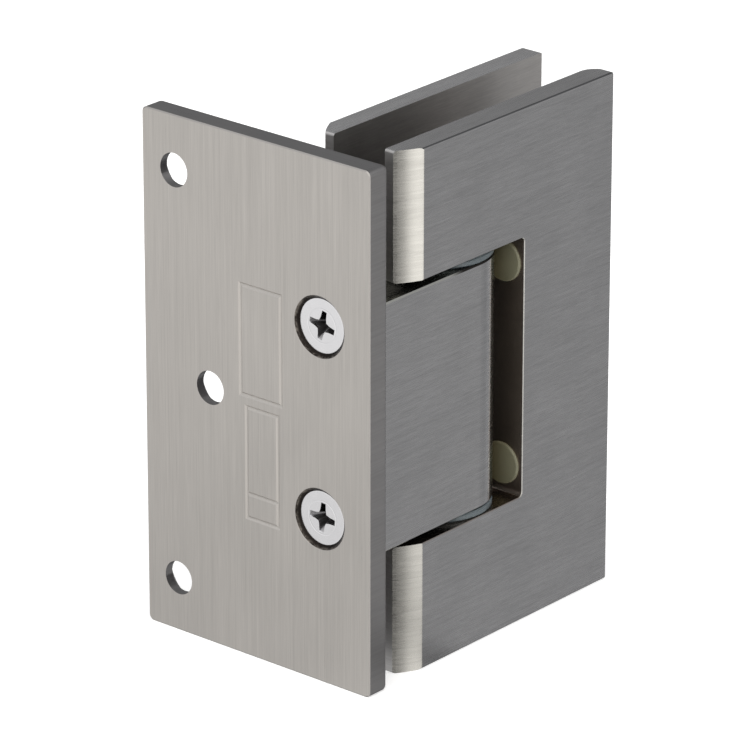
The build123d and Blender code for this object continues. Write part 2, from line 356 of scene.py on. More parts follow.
class GeometryTree(Sheet):
    """A Geometry Nodes tree with named inputs."""

    KINDS = {float: "NodeSocketFloat", int: "NodeSocketInt"}

    def __init__(self, name, **inputs):
        tree = bpy.data.node_groups.new(name, "GeometryNodeTree")
        super().__init__(tree)
        tree.interface.new_socket("Geometry", in_out="INPUT", socket_type="NodeSocketGeometry")
        tree.interface.new_socket("Geometry", in_out="OUTPUT", socket_type="NodeSocketGeometry")
        self.values = {}
        for label, value in inputs.items():
            socket = tree.interface.new_socket(
                label.replace("_", " ").capitalize(), in_out="INPUT", socket_type=self.KINDS[type(value)]
            )
            self.values[socket.identifier] = value
        entry = tree.nodes.new("NodeGroupInput")
        self.geometry = Field(self, entry.outputs[0])
        self.given = {label: Field(self, entry.outputs[1 + i]) for i, label in enumerate(inputs)}

    def end(self, geometry, material):
        """Realizes what the tree made, gives it its material and sends it out."""
        solid = self.add("GeometryNodeRealizeInstances", None, [geometry])
        painted = self.add("GeometryNodeSetMaterial", None, {"Geometry": solid, "Material": material})
        self.add("NodeGroupOutput", None, [painted])

    def made_from(self, mesh):
        """The mesh that the tree makes out of another."""
        piece = placed("growing", mesh)
        modifier = piece.modifiers.new("growing", "NODES")
        modifier.node_group = self.tree
        for identifier, value in self.values.items():
            modifier[identifier] = value
        grown = baked(piece)
        piece.modifiers.remove(modifier)
        bpy.data.objects.remove(piece)
        return grown


def pair(mesh, spots, outward, turns, finish):
    """Two of a piece made about Z, each with its top at a spot, facing outward and turned by some degrees."""
    quarter = Vector((0, 0, 1)).rotation_difference(Vector(outward)).to_matrix().to_4x4()
    mesh.transform(quarter)
    first_turn, second_turn = [math.radians(turn) for turn in turns]
    tree = GeometryTree("pair of screws", first_turn=first_turn, second_turn=second_turn)
    first, second = spots
    line = tree.add(
        "GeometryNodeMeshLine", {"mode": "END_POINTS"},
        {"Count": 2, "Start Location": tuple(first), "Offset": tuple(second)},
    )
    share = tree.add("GeometryNodeInputIndex")
    turn = tree.given["first_turn"] + share * (tree.given["second_turn"] - tree.given["first_turn"])
    about = tree.add("ShaderNodeVectorMath", {"operation": "SCALE"}, {0: tuple(outward), "Scale": turn})
    rotation = tree.add("FunctionNodeEulerToRotation", None, [about])
    screws = tree.add(
        "GeometryNodeInstanceOnPoints", None,
        {"Points": line, "Instance": tree.geometry, "Rotation": rotation},
    )
    tree.end(screws, finish.material)
    return tree.made_from(mesh)


def tops(nodes, axis, level):
    """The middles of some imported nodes, moved along an axis to the level of their tops."""
    spots = [centre(node) for node in nodes]
    for spot in spots:
        spot[AXES[axis]] = level
    return spots


def join_rings(form, rings):
    """Faces from each ring of corners to the next."""
    count = len(rings[0])
    for low, high in zip(rings, rings[1:]):
        for step in range(count):
            after = (step + 1) % count
            form.faces.new((low[step], low[after], high[after], high[step]))


def finished(form, name):
    """The mesh of a closed form, with its faces outwards."""
    bmesh.ops.recalc_face_normals(form, faces=form.faces)
    mesh = bpy.data.meshes.new(name)
    form.to_mesh(mesh)
    form.free()
    return mesh


def turned(profile, around=48):
    """A closed solid turned about Z. Each ring is a height and a radius, or a function of the angle."""
    form = bmesh.new()
    rings = []
    for height, radius in profile:
        ring = []
        for step in range(around):
            angle = FULL_TURN * step / around
            reach = radius(angle) if callable(radius) else radius
            ring.append(form.verts.new((reach * math.cos(angle), reach * math.sin(angle), height)))
        rings.append(ring)
    join_rings(form, rings)
    for ring, flip in ((rings[0], True), (rings[-1], False)):
        hub = form.verts.new((0, 0, ring[0].co.z))
        for step in range(around):
            after = (step + 1) % around
            corners = (ring[step], ring[after], hub)
            form.faces.new(corners[::-1] if flip else corners)
    return finished(form, "turned")


def prism(outline, sections):
    """A closed solid whose outline shrinks from section to section, each a height and a scale."""
    form = bmesh.new()
    rings = [
        [form.verts.new((x * scale, y * scale, height)) for x, y in outline] for height, scale in sections
    ]
    join_rings(form, rings)
    form.faces.new(rings[0])
    form.faces.new(rings[-1])
    return finished(form, "prism")


def cut(mesh, *cutters):
    """A mesh with closed solids taken out of it."""
    piece = placed("blank", mesh)
    tools = [placed("cutter", cutter) for cutter in cutters]
    for tool in tools:
        modifier = piece.modifiers.new("cut", "BOOLEAN")
        modifier.operation = "DIFFERENCE"
        modifier.solver = "EXACT"
        modifier.object = tool
    left = baked(piece)
    for done in (piece, *tools):
        bpy.data.objects.remove(done)
    return left


def closed(mesh):
    """A copy of a mesh with its seams closed and its faces outwards."""
    form = bmesh.new()
    form.from_mesh(mesh)
    bmesh.ops.remove_doubles(form, verts=form.verts, dist=0.0005 * MM)
    return finished(form, mesh.name)


def even(mesh):
    """Smooth shading in which faces square to an axis stay flat beside their rounded edges."""
    smooth_mesh(mesh)
    flat = {face.index for face in mesh.polygons if max(abs(part) for part in face.normal) > 0.99999}
    flats_at = {}
    for index in flat:
        for corner in mesh.polygons[index].vertices:
            flats_at.setdefault(corner, []).append(mesh.polygons[index].normal)
    normals = [corner.vector.copy() for corner in mesh.corner_normals]
    for face in mesh.polygons:
        for corner in face.loop_indices:
            if face.index in flat:
                normals[corner] = face.normal
                continue
            for other in flats_at.get(mesh.loops[corner].vertex_index, ()):
                if other.angle(face.normal) < math.radians(35):
                    normals[corner] = other
    mesh.normals_split_custom_set(normals)
    return mesh


def thread(top, bottom, radius, pitch, depth, runout):
    """Rings of a thread from its top down to its bottom, each with a radius that follows the angle."""
    steps = int((top - bottom) / pitch * 8)
    rings = []
    for step in range(steps + 1):
        height = bottom + (top - bottom) * step / steps
        fade = min(1.0, (height - bottom) / runout, (top - height) / runout)

        def reach(angle, height=height, fade=fade):
            phase = (height / pitch - angle / FULL_TURN) % 1.0
            flank = min(1.0, max(0.0, abs(2 * phase - 1) * 1.3 - 0.15))
            return radius - depth * (1 - fade + fade * flank)

        rings.append((height, reach))
    return rings


def countersunk(length, head, shank, pitch, edge):
    """Rings of a countersunk screw with its top at height 0: point, thread, neck, cone and rim."""
    depth = 0.54 * pitch
    neck = -(head - shank) - edge
    rings = [(-length, shank - depth - 0.6 * pitch)]
    rings += thread(neck - 0.6 * pitch, -length + 0.6 * pitch, shank, pitch, depth, pitch)
    rings += [(neck, shank - 0.3 * depth), (neck + 0.02 * MM, shank), (-edge, head)]
    rings += [(-0.4 * edge, head - 0.02 * edge), (-0.1 * edge, head - 0.3 * edge), (0, head - edge)]
    rings += [(0, head - 2 * edge)]
    return rings


def smooth_mesh(mesh, angle=35):
    """Smooth shading that keeps the edges sharper than an angle in degrees."""
    form = bmesh.new()
    form.from_mesh(mesh)
    for face in form.faces:
        face.smooth = True
    for edge in form.edges:
        edge.smooth = len(edge.link_faces) == 2 and edge.calc_face_angle() < math.radians(angle)
    form.to_mesh(mesh)
    form.free()
    return mesh


def colour(name, description, *default):
    """A colour that a user can change."""
    return FloatVectorProperty(
        name=name, description=description, subtype="COLOR", default=default, min=0.0, max=1.0,
    )


def length(name, description, default):
    """A length that a user can change."""
    return FloatProperty(name=name, description=description, unit="LENGTH", default=default)


def number(name, description, default):
    """A plain number that a user can change."""
    return FloatProperty(name=name, description=description, default=default)


class HingeLooks(bpy.types.PropertyGroup):
    """Sizes and colours of the finishes and of what this script adds."""

    plate_tone: colour("Plate tone", "Colour of the wall plate's satin nickel", 0.60, 0.575, 0.55)
    leaf_tone: colour("Leaf tone", "Colour of the satin nickel on the leaf and the block", 0.505, 0.50, 0.505)
    # Painted shade: the plate's sides are coloured darker than its face
    side_shade_tone: colour("Edge tone", "Colour of the wall plate's sawn edges", 0.375, 0.365, 0.365)
    # Painted light: the ends of the leaf and the block are coloured lighter than their faces
    lit_end_tone: colour(
        "Top tone", "Colour of the leaf's and the block's upper and lower ends", 0.62, 0.61, 0.61,
    )
    # Painted shade on the floor and the ends of the notch
    notch_shade_tone: colour("Hollow tone", "Colour of the floor of the notch", 0.34, 0.28, 0.24)
    # Painted shadow on the undersides about the notch and in the gap about the washers
    painted_shadow_tone: colour("Deep tone", "Colour of the undersides about the notch", 0.04, 0.036, 0.033)
    # Painted shade: the block's upper end, under the leaf's ear, is coloured darker than the leaf's ends
    block_end_shade_tone: colour("Block end tone", "Colour of the block's upper end", 0.50, 0.50, 0.44)
    # Painted dark reflection on the block's half-round end
    round_end_shade_tone: colour("Round end tone", "Colour of the block's half-round end", 0.17, 0.18, 0.175)
    inside_tone: colour("Inside tone", "Colour of the faces that clamp the glass", 0.56, 0.54, 0.525)
    warm_tone: colour("Warm tone", "Colour of the rounded edges that stand upright", 0.485, 0.475, 0.45)
    # Painted highlight on the thin edges
    edge_highlight_tone: colour("Polished tone", "Colour of the thin edges that stayed bright", 0.97, 0.96, 0.94)
    # Painted dark reflection along the leaf's upper and lower edges
    dark_edge_reflection_tone: colour(
        "Burnished tone", "Colour of the dark edges along the leaf's upper and lower ends", 0.16, 0.16, 0.165,
    )
    # Painted shade in the screws' pockets, with lighter brown streaks near their rims
    rim_streak_tone: colour(
        "Bare tone", "Colour of the cut metal at the rims of the screws' pockets", 0.30, 0.27, 0.24,
    )
    pocket_shade: colour(
        "Pocket shade", "Colour of the screws' pockets below their rims", 0.025, 0.021, 0.019,
    )
    grain_spacing: length("Grain spacing", "Width of one brushed scratch", 0.11 * MM)
    grain_length: length("Grain length", "Length of one brushed scratch", 9.0 * MM)
    grain_depth: length("Grain depth", "Depth of the brushed scratches", 0.006 * MM)
    gloss: number("Roughness", "Mean roughness of the satin nickel", 0.34)
    stretch: number("Stretch", "Stretch of the brushed highlight", 0.3)
    contrast: number("Contrast", "Light and dark between the scratches", 0.35)
    leaf_grain_length: length(
        "Leaf grain length", "Length of one scratch on the leaf and the block", 2.6 * MM,
    )
    leaf_gloss: number("Leaf roughness", "Mean roughness of the leaf and the block", 0.27)
    leaf_contrast: number(
        "Leaf contrast", "Light and dark between the scratches of the leaf and the block", 0.5,
    )
    screw_tone: colour("Screw tone", "Colour of the plated cross-head screws", 0.93, 0.93, 0.96)
    recess_width: length("Recess width", "Width of a wing of the cross recess", 1.15 * MM)
    recess_span: length("Recess span", "Length across two wings of the recess", 5.2 * MM)
    recess_depth: length("Recess depth", "Depth of the cross recess", 2.4 * MM)
    ring_radius: length("Ring radius", "Radius of the faint ring on the screw head", 2.9 * MM)
    steel_tone: colour("Steel tone", "Colour of the pin, plungers and springs", 0.62, 0.62, 0.63)
    washer_tone: colour("Washer tone", "Colour of the thrust washers", 0.10, 0.12, 0.13)
    button_tone: colour("Button tone", "Colour of the buffer buttons", 0.155, 0.15, 0.10)
    # Painted shade on the buttons deep in the notch
    button_shade: colour("Button shade", "Colour of the buttons deep in the notch", 0.065, 0.05, 0.02)
    bush_tone: colour("Bush tone", "Colour of the pin's bushes", 0.80, 0.80, 0.77)
    mark_width: length("Mark width", "Width of the lines of the bare frames on the wall face", 0.75 * MM)
    mark_depth: length("Mark depth", "Depth of those lines", 0.22 * MM)
    spring_turns: IntProperty(name="Spring turns", description="Turns of a plunger spring", default=8)
    spring_wire: length("Spring wire", "Diameter of the springs' wire", 1.0 * MM)
    camera_azimuth: number("Azimuth", "Camera azimuth in degrees", -49.55)
    camera_elevation: number("Elevation", "Camera elevation in degrees", 21.99)
    camera_roll: number("Roll", "Camera roll in degrees", 0.05)
    camera_distance: length("Distance", "From the camera to its aim", 0.9395)
    camera_lens: number("Lens", "Focal length on a 36 mm sensor", 283.9)
    aim_right: length("Aim right", "Aim, to the right of the origin", 8.83 * MM)
    aim_up: length("Aim up", "Aim, above the origin", 7.75 * MM)
    lamp_power: number("Lamps", "Strength of the softboxes", 1.0)


class LooksOperator:
    """What the operators share."""

    bl_options = {"REGISTER", "UNDO"}

    @property
    def looks(self):
        return bpy.context.scene.hinge_looks


class HINGE_OT_wall_plate(LooksOperator, bpy.types.Operator):
    """The wall plate with two bare frames engraved in its face, brushed upright, and level along its edges,
    with painted shade on its sides and in the screws' pockets
    """

    bl_idname = "hinge_looks.wall_plate"
    bl_label = "Wall plate"

    frames = (
        # lowest and highest corner in Y and Z, and the heights of the bars across
        ((7.8 * MM, 0.4 * MM), (17.1 * MM, 20.0 * MM), ()),
        ((8.5 * MM, -20.9 * MM), (15.9 * MM, -0.9 * MM), (-16.3 * MM,)),
    )
    line_shares = (1.7, 0.3)  # widths of a cutter's outer and inner side, to a line's width
    pocket_rim = (5.26 * MM, 5.32 * MM)  # from a screw's axis to where its pocket meets the face

    def execute(self, context):
        looks = self.looks
        finish = brushed(
            "satin_nickel_plate", looks, looks.plate_tone, {"X": "Z", "Y": "X", "Z": "Y"}, 0.0,
            looks.grain_length, looks.contrast, looks.gloss,
        )
        x = finish.parts(finish.place())[0]
        # The sides are painted darker than the face, as painted shade
        edges = 1 - finish.facing["X"]
        tone = finish.mix(edges, finish.tone, finish.scaled(looks.side_shade_tone, finish.shade))
        # Painted shade in the screws' pockets below their rims, with lighter brown streaks in the top half
        # millimetre
        pocket = 1 - finish.off_axis(PLATE_SCREWS).between(*self.pocket_rim)
        bare = pocket * x.between(0.02 * MM, 0.08 * MM)
        streaks = finish.noise((2200, 900, 900), detail=3.0, rough=0.7)
        bright = (1 - x.between(0.05 * MM, 0.5 * MM)) * streaks.between(0.35, 0.7)
        painted_pocket_tone = finish.mix(bright, looks.pocket_shade, looks.rim_streak_tone)
        finish.vary(base_color=finish.mix(bare, tone, painted_pocket_tone), roughness=finish.gloss + 0.1 * bare)
        cutters = []
        for low, high, bars in self.frames:
            cutters.append(self.groove(low, high))
            for level in bars:
                middle = (low[0] + high[0]) / 2
                cutters.append(self.bar(middle, level, high[0] - low[0] - looks.mark_width))
        mesh = even(cut(closed(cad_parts["wall_plate"].data), *cutters))
        put("engraved_wall_plate", mesh, finish, "wall_side", "plate_metal", "wall_plate")
        return {"FINISHED"}

    def groove(self, low, high):
        """The cutter of one frame's line: a groove with slanting walls that follows a rectangle.

        Its section stands across the corners, so it is drawn wider by the corners' slant.
        """
        looks = self.looks
        share_wide, share_narrow = self.line_shares
        tree = GeometryTree(
            "frame groove",
            width=high[0] - low[0] - looks.mark_width,
            height=high[1] - low[1] - looks.mark_width,
            line_width=looks.mark_width * math.sqrt(2),
            depth=looks.mark_depth,
        )
        given = tree.given
        box = tree.add(
            "GeometryNodeCurvePrimitiveQuadrilateral", {"mode": "RECTANGLE"},
            [given["height"], given["width"]],
        )
        section = tree.add(
            "GeometryNodeCurvePrimitiveQuadrilateral",
            {"mode": "TRAPEZOID"},
            {"Height": given["depth"] * 2, "Bottom Width": given["line_width"] * share_narrow,
             "Top Width": given["line_width"] * share_wide, "Offset": 0.0},
        )
        tree.end(tree.add("GeometryNodeCurveToMesh", None, {"Curve": box, "Profile Curve": section}), None)
        mesh = closed(tree.made_from(bpy.data.meshes.new("start")))
        upright = Matrix(((0, 0, 1, 0), (0, 1, 0, 0), (-1, 0, 0, 0), (0, 0, 0, 1)))
        mesh.transform(Matrix.Translation((0, (low[0] + high[0]) / 2, (low[1] + high[1]) / 2)) @ upright)
        return mesh

    def bar(self, middle, level, length):
        """The cutter of a bar across a frame, with the section of the frame's line."""
        depth = self.looks.mark_depth
        wide, narrow = [share / 2 * self.looks.mark_width for share in self.line_shares]
        section = [(-wide, -depth), (wide, -depth), (narrow, depth), (-narrow, depth)]
        mesh = prism(section, [(-length / 2, 1.0), (length / 2, 1.0)])
        across = Matrix(((0, 1, 0, 0), (0, 0, 1, 0), (1, 0, 0, 0), (0, 0, 0, 1)))
        mesh.transform(Matrix.Translation((0, middle, level)) @ across)
        return mesh


class HINGE_OT_block_and_leaves(LooksOperator, bpy.types.Operator):
    """Satin nickel on the pivot block and on both halves of the leaf, brushed level, with painted light and
    shade: shade in the notch and on the clamp faces near the wall, lighter ends, and highlights and dark
    reflections on the edges
    """

    bl_idname = "hinge_looks.block_and_leaves"
    bl_label = "Block and leaves"

    ways = {"X": "XY", "Y": "XY", "Z": "X"}

    def execute(self, context):
        looks = self.looks
        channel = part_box("rear_leaf")[0].y
        for node in ("pivot_block", "front_leaf", "rear_leaf"):
            finish = brushed(
                "satin_nickel_" + node, looks, looks.leaf_tone, self.ways, 0.25,
                looks.leaf_grain_length, looks.leaf_contrast, looks.leaf_gloss, waver=0.8,
            )
            place = finish.parts(finish.place())
            normal = finish.parts(finish.add("ShaderNodeTexCoord", output=1))
            # Painted light on the ends, stronger on the rear leaf
            lighter = 1.25 if node == "rear_leaf" else 1.0
            end_tone = finish.scaled(looks.lit_end_tone, finish.shade * lighter)
            tone = finish.layered(finish.tone, (finish.facing["Z"], end_tone))
            # Painted shade in the notch of the front leaf
            if node == "front_leaf":
                tone = finish.layered(tone, *self.notch_shades(finish, place, normal))
            if node == "pivot_block":
                tone = finish.layered(tone, *self.block_painted_light(finish, place, normal))
            else:
                tone = finish.layered(tone, *self.leaf_edge_light(finish, place, normal))
            inside = (abs(place[1]) < channel + 0.1 * MM) * finish.facing["Y"]
            # Painted shade: the clamp faces are coloured darker towards the wall
            wall_side_shade = 0.6 + 0.4 * place[0].between(24 * MM, 40 * MM)
            tone = finish.mix(inside, tone, finish.scaled(looks.inside_tone, wall_side_shade * finish.shade))
            gloss = finish.gloss + 0.2 * finish.facing["X"] + 0.16 * inside
            finish.vary(base_color=tone, roughness=gloss)
            wear(node, finish)
        return {"FINISHED"}

    def notch_shades(self, finish, place, normal):
        """Painted shade on the floor and the ends of the notch, and painted shadow on their undersides."""
        x, y, z = place
        over = x.between(NOTCH_FLOOR - 1.5 * MM, NOTCH_FLOOR - 0.5 * MM)
        under = 1 - x.between(NOTCH_FLOOR + 0.1 * MM, NOTCH_FLOOR + 0.2 * MM)
        floor = over * under * finish.facing["X"]
        notch_shade = floor.maths("MAXIMUM", finish.facing["Z"]) * (abs(z) < NOTCH_HALF)
        return (notch_shade, self.looks.notch_shade_tone), (notch_shade * (normal[2] < -0.5), self.looks.painted_shadow_tone)

    def block_painted_light(self, finish, place, normal):
        """Painted light on the block: a darker upper end as painted shade, painted shadow on its underside,
        painted highlights on its edges, a painted dark reflection on the round end and a painted shadow rim
        about the washers.
        """
        looks = self.looks
        across, along, up = normal
        ends = finish.facing["Z"]
        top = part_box("pivot_block")[1].z
        level = slanting(along, up, 0.45, 0.5)
        rim = place[2].between(top - 0.32 * MM, top - 0.26 * MM)
        return (
            (ends, looks.block_end_shade_tone),
            (ends * (up < 0.0), looks.painted_shadow_tone),
            (0.2 * level, looks.edge_highlight_tone),
            (0.7 * across.between(0.28, 0.31), looks.edge_highlight_tone),
            (across.between(0.34, 0.38), looks.round_end_shade_tone),
            (rim * place[0].between(PIN_X - 8 * MM, PIN_X - 4 * MM), looks.painted_shadow_tone),
        )

    def leaf_edge_light(self, finish, place, normal):
        """Warm upright rounds, a painted dark reflection along the level edges, and painted highlights on the
        upright edges, weaker at the notch as painted shade.
        """
        looks = self.looks
        across, along, up = normal
        high = abs(place[2])
        rounded = slanting(across, along, 0.15, 0.3)
        level = slanting(along, up, 0.45, 0.5)
        upright = slanting(across, along, 0.6, 0.66)
        return (
            (rounded, finish.scaled(looks.warm_tone, finish.shade)),
            (level * (high > NOTCH_HALF + 0.6 * MM), looks.dark_edge_reflection_tone),
            (upright * (1 - 0.4 * (high < NOTCH_HALF)), looks.edge_highlight_tone),
        )


class HINGE_OT_plate_screws(LooksOperator, bpy.types.Operator):
    """Two plated cross-head screws, sunk in the wall face"""

    bl_idname = "hinge_looks.plate_screws"
    bl_label = "Cross-head screws"

    turns = (-12.0, -5.0)  # degrees, of the upper and the lower one

    def execute(self, context):
        looks = self.looks
        low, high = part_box("plate_screw_upper")
        size = high - low
        finish = self.plated(low.x)
        rings = countersunk(size.x, size.y / 2, shank=2.5 * MM, pitch=0.8 * MM, edge=0.12 * MM)
        rings += self.ring(looks.ring_radius)
        screw = smooth_mesh(cut(turned(rings), self.recess(looks)))
        mesh = pair(screw, tops(PLATE_SCREWS, "X", low.x), (-1, 0, 0), self.turns, finish)
        put("cross_head_screws", mesh, finish, "wall_side", "screw_steel", *PLATE_SCREWS)
        return {"FINISHED"}

    def plated(self, head_x):
        """Bright plating, with painted shade in the recess that leaves its steep ends bright as painted
        glints.
        """
        looks = self.looks
        finish = Finish("plated_steel", {"Metallic": 1.0})
        mottle = finish.noise(700, detail=3.0)
        grain = finish.noise(3000, detail=2.0)
        x = finish.parts(finish.place())[0]
        sunk = x.between(head_x + 0.06 * MM, head_x + 0.2 * MM)
        inside = (finish.off_axis(PLATE_SCREWS) < 2.8 * MM) * sunk
        normal = finish.add("ShaderNodeTexCoord", output=1)
        # Facets turned up and to the front keep their brightness: painted glints
        lit = finish.vector("DOT_PRODUCT", normal, (-0.35, -0.66, 0.66), output=1)
        recess_shade = inside * (1 - 0.6 * lit.between(0.5, 0.75))
        tone = finish.scaled(looks.screw_tone, 1 + 0.08 * (mottle - 0.5))
        finish.vary(
            base_color=finish.mix(recess_shade, tone, (0.035, 0.032, 0.03)),
            roughness=0.2 + 0.1 * (mottle - 0.5) + 0.15 * inside,
        )
        finish.relief(grain, 0.002 * MM)
        return finish

    @staticmethod
    def ring(radius):
        """A shallow ring pressed into the head."""
        groove = 0.07 * MM
        depth = 0.022 * MM
        section = ((0, 2), (0, 1), (-depth, 0.4), (-depth, -0.4), (0, -1), (0, -2))
        return [(height, radius + out * groove) for height, out in section] + [(0, 0.5 * radius)]

    @staticmethod
    def recess(looks):
        """The cutter of the recess: four wings that narrow towards the bottom."""
        reach = looks.recess_span / 2
        half = looks.recess_width / 2
        waist = half * 1.35
        wing = [(reach, half * 0.8), (reach * 0.55, half)]
        quarter = wing + [(waist, waist)] + [(y, x) for x, y in reversed(wing)]
        outline = []
        for step in range(4):
            cosine, sine = math.cos(step * HALF_TURN / 2), math.sin(step * HALF_TURN / 2)
            outline += [(x * cosine - y * sine, x * sine + y * cosine) for x, y in quarter]
        depth = looks.recess_depth
        sections = [(0.4 * MM, 1.12), (0, 1.0), (-0.6 * depth, 0.62), (-depth, 0.3)]
        return prism(outline, sections)


class HINGE_OT_socket_screws(LooksOperator, bpy.types.Operator):
    """The clamp screws in the rear leaf and the set screws that lock the pin, with hexagon sockets"""

    bl_idname = "hinge_looks.socket_screws"
    bl_label = "Socket screws"

    def execute(self, context):
        looks = self.looks
        finish = steel(
            "stainless_steel", looks, scale=500, detail=3.0, uneven=0.12, gloss=0.3, spread=0.15,
            depth=0.003 * MM, grain=2500,
        )
        low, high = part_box("clamp_screw_upper")
        size = high - low
        rings = countersunk(size.y, size.x / 2, shank=3.0 * MM, pitch=1.0 * MM, edge=0.15 * MM)
        screw = smooth_mesh(cut(turned(rings), self.socket(width=4.0 * MM, depth=2.6 * MM)))
        nodes = both("clamp_screw")
        mesh = pair(screw, tops(nodes, "Y", high.y), (0, 1, 0), (12, 41), finish)
        put("clamp_socket_screws", mesh, finish, "leaf", "pin_steel", *nodes)
        low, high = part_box("pin_set_screw_upper")
        radius = (high - low).y / 2
        length = (high - low).x
        pitch = 0.8 * MM
        depth = 0.54 * pitch
        rings = [(-length, radius - 0.8 * MM), (-length + 0.8 * MM - depth, radius - depth)]
        rings += thread(-0.1 * MM, -length + 0.9 * MM, radius, pitch, depth, 0.5 * pitch)
        rings += [(0, radius - depth - 0.1 * MM)]
        screw = smooth_mesh(cut(turned(rings), self.socket(width=2.5 * MM, depth=3.0 * MM)))
        nodes = both("pin_set_screw")
        mesh = pair(screw, tops(nodes, "X", low.x), (-1, 0, 0), (20, 47), finish)
        put("pin_lock_screws", mesh, finish, "leaf", "set_screw_steel", *nodes)
        return {"FINISHED"}

    @staticmethod
    def socket(width, depth):
        """The cutter of a hexagon socket with a broken edge and a drilled cone below."""
        corner = width / math.sqrt(3)
        angles = [step * HALF_TURN / 3 for step in range(6)]
        outline = [(corner * math.cos(angle), corner * math.sin(angle)) for angle in angles]
        sections = [(0.3 * MM, 1.2), (0, 1.1), (-0.12 * MM, 1.0), (-depth, 1.0), (-depth - 0.25 * width, 0.3)]
        return prism(outline, sections)


class HINGE_OT_plunger_springs(LooksOperator, bpy.types.Operator):
    """Two coil springs with closed ends, behind the plungers"""

    bl_idname = "hinge_looks.plunger_springs"
    bl_label = "Plunger springs"

    def execute(self, context):
        looks = self.looks
        finish = steel(
            "spring_wire", looks, scale=1500, detail=2.0, uneven=0.15, gloss=0.3, spread=0.2, depth=0.004 * MM,
        )
        for place, node in zip(("upper", "lower"), both("plunger_spring")):
            low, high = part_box(node)
            wire = looks.spring_wire
            tree = GeometryTree(
                "closed coil",
                turns=float(looks.spring_turns),
                length=(high.x - low.x) - 1.06 * wire,
                radius=(high.y - low.y) / 2 - 0.53 * wire,
                wire=wire / 2,
                points=looks.spring_turns * 28,
            )
            given = tree.given
            line = tree.add(
                "GeometryNodeCurvePrimitiveLine", {"mode": "POINTS"}, {"Start": (0, 0, 0), "End": (1, 0, 0)}
            )
            dotted = tree.add("GeometryNodeResampleCurve", None, {"Curve": line, "Count": given["points"]})
            share = tree.add("GeometryNodeSplineParameter")
            angle = share * given["turns"] * FULL_TURN
            one = 1 / given["turns"]
            closed_pitch = given["wire"] * 2.1
            first = closed_pitch * (share / one).maths("MINIMUM", 1.0)
            last = closed_pitch * ((1 - share) / one).maths("MINIMUM", 1.0)
            rest = given["length"] - given["wire"] * 4.2
            middle = ((share - one) / (1 - 2 * one)).maths("MAXIMUM", 0.0).maths("MINIMUM", 1.0)
            along = first + middle * rest + (closed_pitch - last)
            spot = tree.add(
                "ShaderNodeCombineXYZ", None,
                [along, given["radius"] * angle.maths("COSINE"), given["radius"] * angle.maths("SINE")],
            )
            coil = tree.add("GeometryNodeSetPosition", None, {"Geometry": dotted, "Position": spot})
            section = tree.add(
                "GeometryNodeCurvePrimitiveCircle", {"mode": "RADIUS"},
                {"Resolution": 12, "Radius": given["wire"]},
            )
            tube = tree.add(
                "GeometryNodeCurveToMesh", None, {"Curve": coil, "Profile Curve": section, "Fill Caps": True}
            )
            tree.end(tube, finish.material)
            mesh = smooth_mesh(tree.made_from(bpy.data.meshes.new("start")))
            place_at = Vector((low.x + 0.53 * wire, centre(node).y, centre(node).z))
            mesh.transform(Matrix.Translation(place_at))
            put("closed_spring_" + place, mesh, finish, "wall_side", "spring_steel", node)
        return {"FINISHED"}


class HINGE_OT_pin_and_plungers(LooksOperator, bpy.types.Operator):
    """Ground steel on the pin and the plungers, and plastic on the pin's bushes"""

    bl_idname = "hinge_looks.pin_and_plungers"
    bl_label = "Pin, plungers and bushes"

    def execute(self, context):
        looks = self.looks
        for name, axis, nodes in (
            ("ground_steel_pin", "Z", ["pivot_pin"]),
            ("ground_steel_plunger", "X", both("plunger")),
        ):
            scale = [120.0] * 3
            scale[AXES[axis]] = 9000.0
            finish = steel(
                name, looks, scale, detail=2.0, uneven=0.2, gloss=0.22, spread=0.2, depth=0.003 * MM,
            )
            for node in nodes:
                wear(node, finish)
        finish = moulded("bush_acetal", looks.bush_tone, gloss=0.45, glow=0.1)
        for node in both("pin_bush"):
            wear(node, finish)
        return {"FINISHED"}


def moulded(name, tone, gloss, glow):
    """Moulded plastic: faint clouds in the colour and a fine matt grain."""
    constants = {
        "Subsurface Weight": glow, "Subsurface Radius": (0.9, 0.85, 0.7), "Subsurface Scale": 1.5 * MM,
        "IOR": 1.48,
    }
    finish = Finish(name, constants)
    cloud = finish.noise(260, detail=3.0)
    grain = finish.noise(6000, detail=2.0)
    darker = tuple(0.8 * part for part in tone)
    finish.vary(
        base_color=finish.mix(cloud.between(0.3, 0.75), tone, darker),
        roughness=gloss + 0.15 * (grain - 0.5),
    )
    finish.relief(grain, 0.003 * MM)
    return finish


class HINGE_OT_washers(LooksOperator, bpy.types.Operator):
    """Bluish grey acetal on the thrust washers"""

    bl_idname = "hinge_looks.washers"
    bl_label = "Thrust washers"

    def execute(self, context):
        finish = moulded("washer_acetal", self.looks.washer_tone, gloss=0.35, glow=0.2)
        for node in both("thrust_washer"):
            wear(node, finish)
        return {"FINISHED"}


class HINGE_OT_buttons(LooksOperator, bpy.types.Operator):
    """Soft nylon on the buffer buttons, with painted shade deep in the notch"""

    bl_idname = "hinge_looks.buttons"
    bl_label = "Buffer buttons"

    def execute(self, context):
        looks = self.looks
        finish = moulded("button_nylon", looks.button_tone, gloss=0.4, glow=0.2)
        low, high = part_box("buffer_button_upper")
        # Painted shade: the buttons are coloured darker towards the back of the notch
        depth = finish.parts(finish.place())[1].between(low.y, high.y)
        cloud = 1 + 0.25 * (finish.noise(260, detail=3.0) - 0.5)
        tone = finish.mix(depth, finish.scaled(looks.button_tone, cloud), looks.button_shade)
        finish.vary(base_color=tone)
        for node in both("buffer_button"):
            wear(node, finish)
        return {"FINISHED"}


STUDIO_MEAN = 0.60
LOBES = (
    # towards (degrees from +X), how much lighter or darker, and how narrow
    (205.0, 0.444, 1),
    (265.3, 1.6, 60),
    (252.5, -1.3, 60),
    (350.0, 0.3, 150),
)


